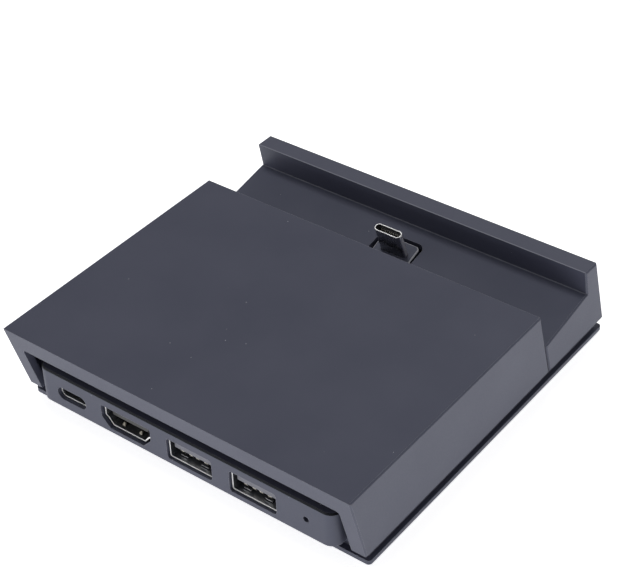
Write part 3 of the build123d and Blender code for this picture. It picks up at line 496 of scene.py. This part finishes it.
def islands(node):
    """Lowest and highest corner of each separate solid of a node."""
    shape = copy_node(node)
    left = set(shape.verts)
    boxes = []
    while left:
        reach = [left.pop()]
        found = []
        while reach:
            vert = reach.pop()
            found.append(vert.co.copy())
            for edge in vert.link_edges:
                other = edge.other_vert(vert)
                if other in left:
                    left.remove(other)
                    reach.append(other)
        low = Vector([min(co[k] for co in found) for k in range(3)])
        high = Vector([max(co[k] for co in found) for k in range(3)])
        boxes.append((low, high))
    shape.free()
    return sorted(boxes, key=lambda box: tuple(box[0]))


def add_piece(name, shape, material, body, slot, *stands_for):
    """Makes a piece of a mesh in metres, with its finish and its body if it has one, and hides the nodes it
    stands for.
    """
    bmesh.ops.recalc_face_normals(shape, faces=shape.faces[:])
    mesh = bpy.data.meshes.new(name)
    shape.to_mesh(mesh)
    shape.free()
    for face in mesh.polygons:
        face.use_smooth = True
    mesh.set_sharp_from_angle(angle=math.radians(SHARP_ANGLE))
    mesh.materials.append(material)
    piece = bpy.data.objects.new(name, mesh)
    bpy.context.scene.collection.objects.link(piece)
    if body:
        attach(piece, body)
    if stands_for:
        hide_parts(*stands_for)
    return piece


def cross(x, y, z, length, width):
    """Outline of a cross recess."""
    arm = [(length, -width), (length, width), (width, width)]
    points = []
    for turn in range(4):
        c, s = round(math.cos(math.pi * turn / 2)), round(math.sin(math.pi * turn / 2))
        points += [(x + (c * a - s * b) * MM, y + (s * a + c * b) * MM, z) for a, b in arm]
    return points


def make_screws(material):
    """Pan heads with a cross recess, and threaded shanks."""
    shape = bmesh.new()
    for low, high in islands("case_screws"):
        x, y, z = (low.x + high.x) / 2, (low.y + high.y) / 2, low.z
        rings = []
        for turn in quarter(HEAD_STEPS):
            radius = HEAD_R - HEAD_ROUND + HEAD_ROUND * math.sin(turn)
            depth = HEAD_ROUND - HEAD_ROUND * math.cos(turn)
            rings.append(loop(shape, circle(x, y, z + depth * MM, radius * MM, HEAD_SIDES)))
        rings.append(loop(shape, circle(x, y, z + HEAD_T * MM, HEAD_R * MM, HEAD_SIDES)))
        turns = int(SHANK_L / THREAD_PITCH * 2)
        for step in range(turns + 1):
            radius = SHANK_R - THREAD_DEPTH * (step % 2)
            height = HEAD_T + SHANK_L * step / turns
            rings.append(loop(shape, circle(x, y, z + height * MM, radius * MM, HEAD_SIDES)))
        skin_all(shape, rings)
        shape.faces.new(rings[-1])
        mouth = loop(shape, cross(x, y, z, CROSS_L, CROSS_W))
        floor_z = z + CROSS_DEPTH * MM
        floor = loop(shape, cross(x, y, floor_z, CROSS_L * CROSS_TAPER, CROSS_W * CROSS_TAPER))
        edges = [shape.edges.new((mouth[i - 1], mouth[i])) for i in range(len(mouth))]
        edges += [shape.edges.get((rings[0][i - 1], rings[0][i])) for i in range(HEAD_SIDES)]
        bmesh.ops.triangle_fill(shape, use_beauty=True, edges=edges)
        skin(shape, mouth, floor)
        shape.faces.new(floor)
    add_piece("screws", shape, material, "dock", "steel", "case_screws")


def make_feet(material):
    """Moulded feet with a round edge and a shallow dish."""
    shape = bmesh.new()
    for low, high in islands("rubber_feet"):
        x, y = (low.x + high.x) / 2, (low.y + high.y) / 2
        flat = FOOT_R - FOOT_ROUND
        line = [(FOOT_R, FOOT_H)]
        for turn in quarter(ROUND_STEPS):
            line.append((flat + FOOT_ROUND * math.cos(turn), FOOT_ROUND - FOOT_ROUND * math.sin(turn)))
        line += [(flat - FOOT_RIM, 0.0), (flat - FOOT_RIM - 2 * FOOT_DISH, FOOT_DISH)]
        rings = [loop(shape, circle(x, y, z * MM, radius * MM, FOOT_SIDES)) for radius, z in line]
        skin_all(shape, rings)
        shape.faces.new(rings[0])
        shape.faces.new(rings[-1])
    add_piece("feet", shape, material, "dock", "rubber", "rubber_feet")


def plug_place():
    """The matrix from millimetres across and along the plug to the frame."""
    axis = Vector(mounts["console_plug"]["axis"])
    across = Vector((0, axis.z, -axis.y))
    base = Vector(mounts["console_plug"]["pos_m"]) - axis * PLUG_RISE * MM
    turn = Matrix((Vector((1, 0, 0)), across, axis)).transposed().to_4x4()
    return Matrix.Translation(base) @ turn @ Matrix.Scale(MM, 4)


def plug_rings(shape, line):
    """Adds loops round the plug at points (inset from its outline, height)."""
    place = plug_place()
    rings = []
    for inset, z in line:
        outline = stadium(PLUG_W - 2 * inset, PLUG_H - 2 * inset, z)
        rings.append(loop(shape, [place @ point for point in outline]))
    return rings


def make_plug(metal, black):
    """The plug's drawn shell with its rolled rim, and the moulding that lines it."""
    line = [(0.0, PLUG_FOOT)]
    for turn in quarter(ROUND_STEPS):
        drop = PLUG_ROUND - PLUG_ROUND * math.sin(turn)
        line.append((PLUG_ROUND - PLUG_ROUND * math.cos(turn), PLUG_RISE - drop))
    inner = PLUG_SHEET - PLUG_ROUND
    for turn in quarter(ROUND_STEPS)[1:]:
        line.append((PLUG_ROUND + inner * math.sin(turn), PLUG_RISE - inner + inner * math.cos(turn)))
    line.append((PLUG_SHEET, PLUG_FOOT))
    shape = bmesh.new()
    rings = plug_rings(shape, line)
    skin_all(shape, rings)
    skin(shape, rings[-1], rings[0])
    add_piece("plug_metal", shape, metal, "plug", "nickel", "plug_shell")

    outside = PLUG_SHEET + LINER_FIT
    line = [
        (outside, PLUG_FOOT),
        (outside, PLUG_RISE - LINER_BACK),
        (outside + LINER_T, PLUG_RISE - LINER_BACK),
        (outside + LINER_T, PLUG_RISE - PLUG_CAVITY),
    ]
    shape = bmesh.new()
    rings = plug_rings(shape, line)
    skin_all(shape, rings)
    shape.faces.new(rings[0])
    shape.faces.new(rings[-1])
    add_piece("plug_liner", shape, black, "plug", "dark_plastic", "plug_insulator")


def add_strip(shape, x, width, line, thickness, crown, floor):
    """Adds a strip of sheet metal along points (y, z) in millimetres, crowned across and not below a floor."""
    offs = [2 * k / STRIP_STEPS - 1 for k in range(STRIP_STEPS + 1)]
    rows = [[(x + off * width / 2, y, z - crown * (z - floor) * off ** 4) for off in offs] for y, z in line]
    lower = [[(a, b, max(c - thickness, floor)) for a, b, c in row] for row in rows]
    upper, under = [[loop(shape, [Vector(p) * MM for p in row]) for row in sheet] for sheet in (rows, lower)]
    for sheet in (upper, under):
        for first, second in zip(sheet, sheet[1:]):
            for i in range(STRIP_STEPS):
                shape.faces.new((first[i], first[i + 1], second[i + 1], second[i]))
    for edge in (0, -1):
        first, second = upper[edge], under[edge]
        for i in range(STRIP_STEPS):
            shape.faces.new((first[i], first[i + 1], second[i + 1], second[i]))
        for i in range(len(rows) - 1):
            shape.faces.new((upper[i][edge], upper[i + 1][edge], under[i + 1][edge], under[i][edge]))


def make_fingers(material):
    """Two spring fingers, pressed up from the floor of the video socket's shell."""
    shape = bmesh.new()
    x, y, _ = Vector(mounts["video_socket"]["pos_m"]) / MM
    line = [(y + VIDEO_FRONT_BACK + depth, VIDEO_FLOOR_Z + rise) for depth, rise in FINGER_LINE]
    for side in (-1, 1):
        add_strip(shape, x + side * FINGER_X, FINGER_W, line, FINGER_T, FINGER_CROWN, VIDEO_FLOOR_Z)
    bmesh.ops.remove_doubles(shape, verts=shape.verts[:], dist=WELD)
    add_piece("video_fingers", shape, material, "dock", "nickel")


def make_springs(material):
    """The four contacts under the tongue of each data socket, bowed down near their tips."""
    for name in ("data_socket_1", "data_socket_2"):
        shape = bmesh.new()
        for low, high in islands(name + "_contacts"):
            x, width = (low.x + high.x) / 2 / MM, (high.x - low.x) / MM
            line = [(low.y / MM + along, high.z / MM - drop) for along, drop in SPRING_LINE]
            line.append((high.y / MM, high.z / MM))
            add_strip(shape, x, width, line, (high.z - low.z) / MM, 0.0, 0.0)
        add_piece(name + "_springs", shape, material, "dock", "gold", name + "_contacts")


def housing_painted_shade(s):
    """A mask of the rounded top edge of the housing, painted dark as the shade that the cover casts on it."""
    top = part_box("port_housing")[1][2]
    edge = s.math("MULTIPLY", s.facing((0, 0, 1), *HOUSING_TURN), s.facing((0, 0, 1), *HOUSING_FLAT))
    high = s.depth((0, 0, -1), HOUSING_EDGE[0] * MM - top, HOUSING_EDGE[1] * MM - top)
    return s.math("MULTIPLY", edge, high)


def carrier_painted_highlight(s):
    """A mask of the carrier's top edge, painted pale as a highlight."""
    axis = tuple(mounts["console_plug"]["axis"])
    return s.math("MULTIPLY", s.facing(axis, *CARRIER_TURN), s.facing(axis, *CARRIER_FLAT))


def slot_painted_highlights(s):
    """Painted highlights: a thin pale line on the slot's floor along the foot of the lip, and a paler band on the
    lip's top.
    """
    up = Vector(mounts["console_slot"]["axis"])
    back = Vector((0, up.z, -up.y))
    foot = Vector(mounts["console_slot"]["pos_m"]).dot(back) + LIP_FOOT * MM
    near = s.depth(tuple(-back), HIGHLIGHT_LINE[0] * MM - foot, HIGHLIGHT_LINE[1] * MM - foot)
    far = s.depth(tuple(back), HIGHLIGHT_LINE[0] * MM + foot, HIGHLIGHT_LINE[1] * MM + foot)
    line = s.math("MULTIPLY", near, far)
    highlit_line = s.math("MULTIPLY", line, s.facing(tuple(up), *HIGHLIGHT_LINE_FACING))
    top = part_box("cradle")[1][2]
    high = s.depth((0, 0, -1), LIP_HIGHLIGHT[0] * MM - top, LIP_HIGHLIGHT[1] * MM - top)
    highlit_top = s.math("MULTIPLY", high, s.facing((0, 0, 1), *LIP_HIGHLIGHT_FACING))
    return s.math("MAXIMUM", highlit_line, s.map(highlit_top, 0.0, 1.0, 0.0, LIP_HIGHLIGHT_SHARE))


def shell_material(node):
    """Nickel plate with a painted highlight at the socket's mouth and painted shade inside, where the same plate
    is darker.
    """
    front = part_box(node)[0][1]
    rim = ((0, 1, 0), front + SHELL_RIM[0] * MM, front + SHELL_RIM[1] * MM)
    name = node + "_plate"
    return metal_material(name, NICKEL_PAINTED_SHADE, SHELL_ROUGH, ALONG_Y, [rim], NICKEL, SHELL_RIM_ROUGH, SHELL_ROUND)


def plug_material():
    """Dark drawn steel with a painted highlight on the rim at the plug's mouth and along its rounded ends."""
    axis = Vector(mounts["console_plug"]["axis"])
    mouth = Vector(mounts["console_plug"]["pos_m"]).dot(axis)
    rims = [(tuple(-axis), SHELL_RIM[0] * MM - mouth, SHELL_RIM[1] * MM - mouth)]
    # Painted highlight along both rounded ends of the plug
    for side in (-1, 1):
        rims.append(((side, 0, 0), -PLUG_END_HIGHLIGHT[1] * MM, -PLUG_END_HIGHLIGHT[0] * MM))
    return metal_material("plug_plate", PLUG_METAL, PLUG_ROUGH, ALONG_Z, rims, PLUG_RIM, PLUG_RIM_ROUGH)


def make_ribs(material):
    """Two half-round ribs pressed up in the floor of each data socket, in front of its spring tabs."""
    shape = bmesh.new()
    half, full = RIB_L / 2, RIB_L / 2 - RIB_END
    sections = ((-half, RIB_TAPER), (-full, 1), (full, 1), (half, RIB_TAPER))
    for name in ("data_socket_1", "data_socket_2"):
        at = Vector(mounts[name]["pos_m"])
        for side in (-1, 1):
            rings = []
            for along, size in sections:
                ring = []
                for k in range(RIB_STEPS + 1):
                    turn = math.pi * k / RIB_STEPS
                    y = at.y + (RIB_BACK - size * RIB_W / 2 * math.cos(turn)) * MM
                    z = (RIB_FLOOR_Z + size * RIB_H * math.sin(turn)) * MM
                    ring.append((at.x + (side * RIB_X + along) * MM, y, z))
                rings.append(loop(shape, ring))
            skin_all(shape, rings)
            shape.faces.new(rings[0])
            shape.faces.new(rings[-1])
    add_piece("data_ribs", shape, material, "dock", "nickel")


def cut(shape, place, normal, drop=False):
    """Cuts a mesh by a plane, and drops what lies behind it if asked."""
    geometry = shape.verts[:] + shape.edges[:] + shape.faces[:]
    bmesh.ops.bisect_plane(shape, geom=geometry, plane_co=place, plane_no=normal, clear_inner=drop)


def make_leaf(material):
    """The centring leaf in two halves, each cut into bands between where it is held at its end and where the
    carrier pushes it at the middle.
    """
    for name, side in (("leaf_left", -1), ("leaf_right", 1)):
        shape = copy_node("centring_spring")
        cut(shape, (0, 0, 0), (side, 0, 0), True)
        bmesh.ops.holes_fill(shape, edges=[edge for edge in shape.edges if edge.is_boundary])
        for k in range(LEAF_CUTS + 1):
            x = LEAF_HELD + (LEAF_TURNS - LEAF_HELD) * k / LEAF_CUTS
            cut(shape, (side * x * MM, 0, 0), (1, 0, 0))
        piece = add_piece(name, shape, material, None, "steel", "centring_spring")
        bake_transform(piece)


def make_ribbon(material):
    """The ribbon, cut into bands between where the main board holds it and where it turns with the plug board at
    its other end.
    """
    shape = copy_node("ribbon")
    for k in range(RIBBON_CUTS + 1):
        y = RIBBON_HELD + (RIBBON_TURNS - RIBBON_HELD) * k / RIBBON_CUTS
        cut(shape, (0, y * MM, 0), (0, 1, 0))
    piece = add_piece("ribbon_film", shape, material, None, "film", "ribbon")
    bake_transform(piece)


# Materials, the nodes that show as they are, and the pieces that stand for the others
case = case_material()
plug_metal = plug_material()
spring = metal_material("spring_metal", SPRING, 0.3, ALONG_Y)
# Ribs inside the data sockets, in nickel darkened as painted shade
dull = metal_material("rib_plate", NICKEL_PAINTED_SHADE, 0.3, ALONG_Y)
pins = metal_material("plug_pins", PLUG_PINS, 0.3, ALONG_Z)
steel = metal_material("zinc_steel", STEEL, 0.34, None)
gold = metal_material("gold_flash", GOLD, 0.25, ALONG_Y)
tongue = plastic_material("socket_plastic", TONGUE, 0.5)
black = plastic_material("black_plastic", BLACK, 0.45)
rubber = plastic_material("black_rubber", RUBBER, 0.8, 6000)
mask = plastic_material("solder_mask", MASK, 0.3, 900)
lens = plastic_material("lens", LENS, 0.12, 500)
ferrite = plastic_material("ferrite", FERRITE, 0.7, 4000)
can = metal_material("can", CAN, 0.3, None)
film = plastic_material("film", FILM, 0.3, 800)

dress(case, "outer_cover", "base_tray")
# The cradle, with painted highlights along the lip's foot and on the lip's top
dress(case_material("cradle_plastic_painted_highlight", SLOT_PAINTED_HIGHLIGHT, slot_painted_highlights), "cradle")
# The port housing, with painted shade on its top edge under the cover
dress(case_material("housing_plastic_painted_shade", HOUSING_PAINTED_SHADE, housing_painted_shade), "port_housing")
# The plug carrier, with a painted highlight along its top edge
dress(case_material("carrier_plastic_painted_highlight", CARRIER_PAINTED_HIGHLIGHT, carrier_painted_highlight), "plug_carrier")
for socket in ("data_socket_1_shell", "data_socket_2_shell", "video_socket_shell", "power_socket_shell"):
    dress(shell_material(socket), socket)
dress(gold, "video_socket_contacts", "power_socket_contacts")
dress(pins, "plug_contacts")
dress(tongue, "data_socket_1_insulator", "data_socket_2_insulator", "status_light")
dress(tongue, "board_ribbon_socket", "plug_ribbon_socket")
dress(black, "video_socket_insulator", "power_socket_insulator", "pivot_bracket")
dress(black, "video_chip", "hub_chip", "power_chip")
dress(mask, "main_board", "plug_board")
dress(lens, "status_lens")
dress(ferrite, "power_inductor")
dress(can, "capacitors")
make_screws(steel)
make_feet(rubber)
make_plug(plug_metal, black)
make_fingers(spring)
make_springs(gold)
make_ribs(dull)
make_leaf(steel)
make_ribbon(film)


def towards(azimuth, elevation):
    """The way to a light at so many degrees."""
    a, e = math.radians(azimuth), math.radians(elevation)
    return Vector((math.sin(a) * math.cos(e), -math.cos(a) * math.cos(e), math.sin(e)))


def make_camera():
    data = bpy.data.cameras.new("camera")
    data.sensor_width = SENSOR_W
    data.lens = FOCAL_PX / PHOTO_W * SENSOR_W
    camera = bpy.data.objects.new("camera", data)
    bpy.context.scene.collection.objects.link(camera)
    back = CAMERA_RIGHT.cross(CAMERA_UP)
    turn = Matrix((CAMERA_RIGHT, CAMERA_UP, back)).transposed()
    camera.matrix_world = Matrix.Translation(CAMERA_AT) @ turn.to_4x4()
    bpy.context.scene.camera = camera


def make_lamps():
    for name, (azimuth, elevation, width, strength) in LAMPS.items():
        data = bpy.data.lights.new(name, "SUN")
        data.energy = strength
        data.angle = math.radians(width)
        lamp = bpy.data.objects.new(name, data)
        bpy.context.scene.collection.objects.link(lamp)
        lamp.rotation_mode = "QUATERNION"
        lamp.rotation_quaternion = (-towards(azimuth, elevation)).to_track_quat("-Z", "Y")


def make_world():
    """A dim sky with a bright band near the horizon, and more of it behind."""
    world = bpy.data.worlds.new("studio")
    bpy.context.scene.world = world
    world.use_nodes = True
    tree = world.node_tree
    place = tree.nodes.new("ShaderNodeTexCoord").outputs["Generated"]
    split = tree.nodes.new("ShaderNodeSeparateXYZ")
    tree.links.new(place, split.inputs["Vector"])

    def fade(low, high):
        node = tree.nodes.new("ShaderNodeMapRange")
        node.interpolation_type = "SMOOTHSTEP"
        for key, value in zip(("From Min", "From Max", "To Min", "To Max"), (*BAND_FADE, low, high)):
            node.inputs[key].default_value = value
        tree.links.new(split.outputs["Z"], node.inputs["Value"])
        return node.outputs["Result"]

    def join(operation, first, second):
        node = tree.nodes.new("ShaderNodeMath")
        node.operation = operation
        tree.links.new(first, node.inputs[0])
        if isinstance(second, float):
            node.inputs[1].default_value = second
        else:
            tree.links.new(second, node.inputs[1])
        return node.outputs["Value"]

    azimuth, strength = LOW_LIGHT
    dot = tree.nodes.new("ShaderNodeVectorMath")
    dot.operation = "DOT_PRODUCT"
    dot.inputs[1].default_value = towards(azimuth, 0)
    tree.links.new(place, dot.inputs[0])
    facing = join("MAXIMUM", dot.outputs["Value"], 0.0)
    side = join("MULTIPLY", join("MULTIPLY", facing, facing), fade(strength, 0.0))
    light = join("ADD", fade(BAND_LIGHT, SKY_LIGHT), side)
    tree.links.new(light, tree.nodes["Background"].inputs["Strength"])
    tree.nodes["Background"].inputs["Color"].default_value = (1, 1, 1, 1)


def make_floor():
    """A pale floor, lit as a light table, open from below so that the underside can be looked at."""
    mesh = bpy.data.meshes.new("floor")
    shape = bmesh.new()
    bmesh.ops.create_circle(shape, cap_ends=True, radius=FLOOR_R, segments=96)
    shape.to_mesh(mesh)
    shape.free()
    floor = bpy.data.objects.new("floor", mesh)
    bpy.context.scene.collection.objects.link(floor)
    material = bpy.data.materials.new("floor_white")
    material.use_nodes = True
    tree = material.node_tree
    main = tree.nodes["Principled BSDF"]
    main.inputs["Base Color"].default_value = FLOOR_COLOUR
    main.inputs["Roughness"].default_value = 1.0
    main.inputs["Specular IOR Level"].default_value = 0.0
    main.inputs["Emission Color"].default_value = (1, 1, 1, 1)
    path = tree.nodes.new("ShaderNodeLightPath")
    seen = path.outputs["Is Camera Ray"]
    for ray in ("Is Glossy Ray", "Is Transmission Ray"):
        either = tree.nodes.new("ShaderNodeMath")
        either.operation = "MAXIMUM"
        tree.links.new(seen, either.inputs[0])
        tree.links.new(path.outputs[ray], either.inputs[1])
        seen = either.outputs["Value"]
    glow = tree.nodes.new("ShaderNodeMapRange")
    glow.inputs["To Min"].default_value = FLOOR_GLOW
    glow.inputs["To Max"].default_value = FLOOR_SEEN
    tree.links.new(seen, glow.inputs["Value"])
    tree.links.new(glow.outputs["Result"], main.inputs["Emission Strength"])
    clear = tree.nodes.new("ShaderNodeBsdfTransparent")
    side = tree.nodes.new("ShaderNodeNewGeometry")
    both = tree.nodes.new("ShaderNodeMixShader")
    tree.links.new(side.outputs["Backfacing"], both.inputs["Fac"])
    tree.links.new(main.outputs["BSDF"], both.inputs[1])
    tree.links.new(clear.outputs["BSDF"], both.inputs[2])
    tree.links.new(both.outputs["Shader"], tree.nodes["Material Output"].inputs["Surface"])
    mesh.materials.append(material)


make_camera()
make_lamps()
make_world()
make_floor()
bpy.context.scene.view_settings.view_transform = "Standard"
